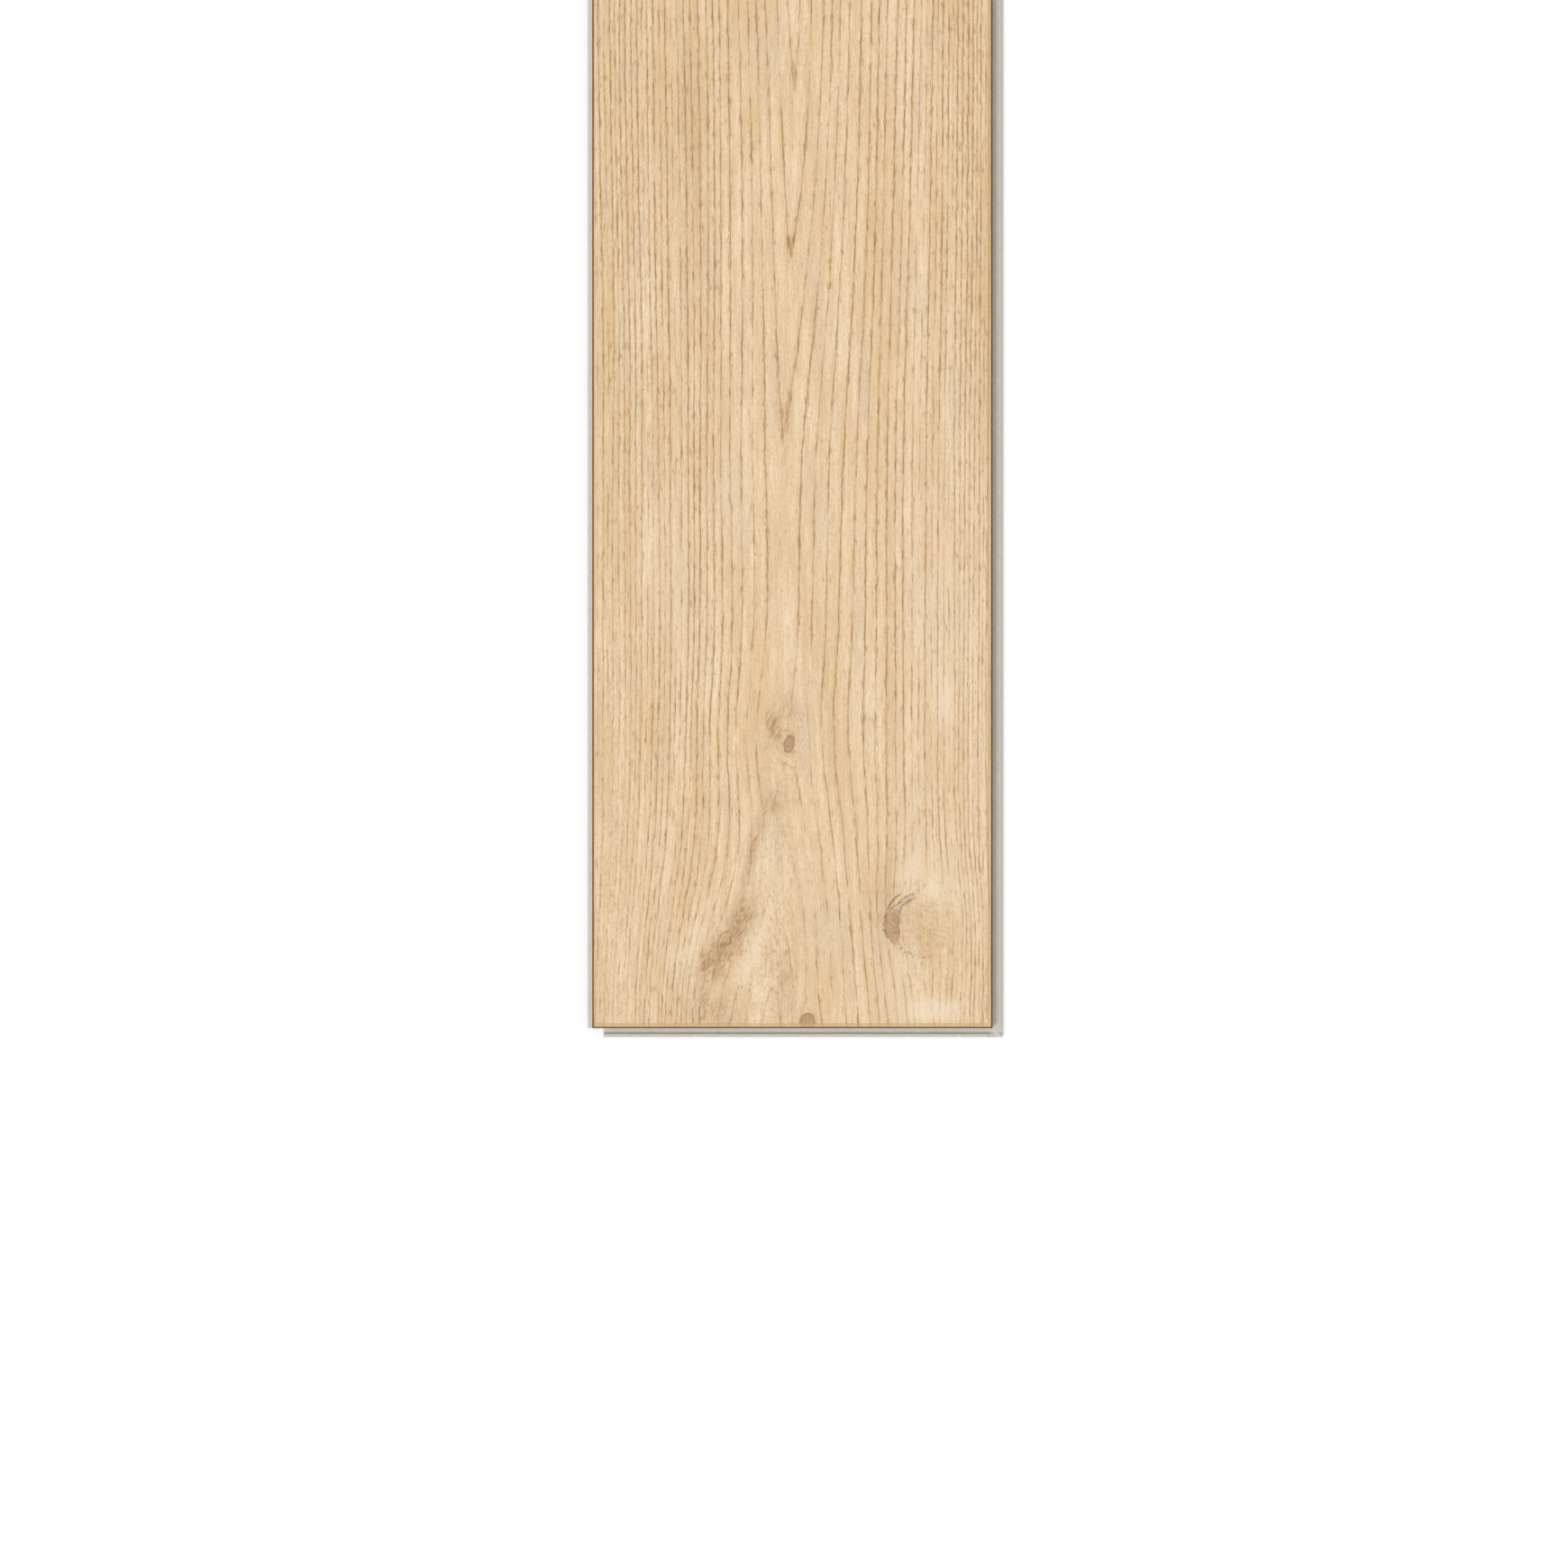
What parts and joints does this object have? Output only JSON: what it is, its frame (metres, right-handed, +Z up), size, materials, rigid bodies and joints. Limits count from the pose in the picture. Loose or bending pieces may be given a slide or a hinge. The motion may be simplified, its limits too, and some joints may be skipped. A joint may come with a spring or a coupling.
{
  "type": "vinyl floor plank",
  "caption": "Rigid vinyl floor plank with an oak decor face, bevelled edges, a tongue and groove click joint along the sides and a drop-lock joint at the ends.",
  "frame": {"origin": "middle of the underside, midway between the butt lines of the sides and of the ends", "axes": "+X across the plank to its groove side, +Y along it to its drop end, +Z up out of the walking face; the strip end is at -Y and the tongue side at -X"},
  "size_m": [0.2369, 1.2247, 0.0065],
  "materials": {
    "vinyl": "matt embossed oak decor film on a rigid mineral-filled vinyl core"
  },
  "bodies": {
    "root": {"plank": "vinyl"}
  },
  "joints": []
}
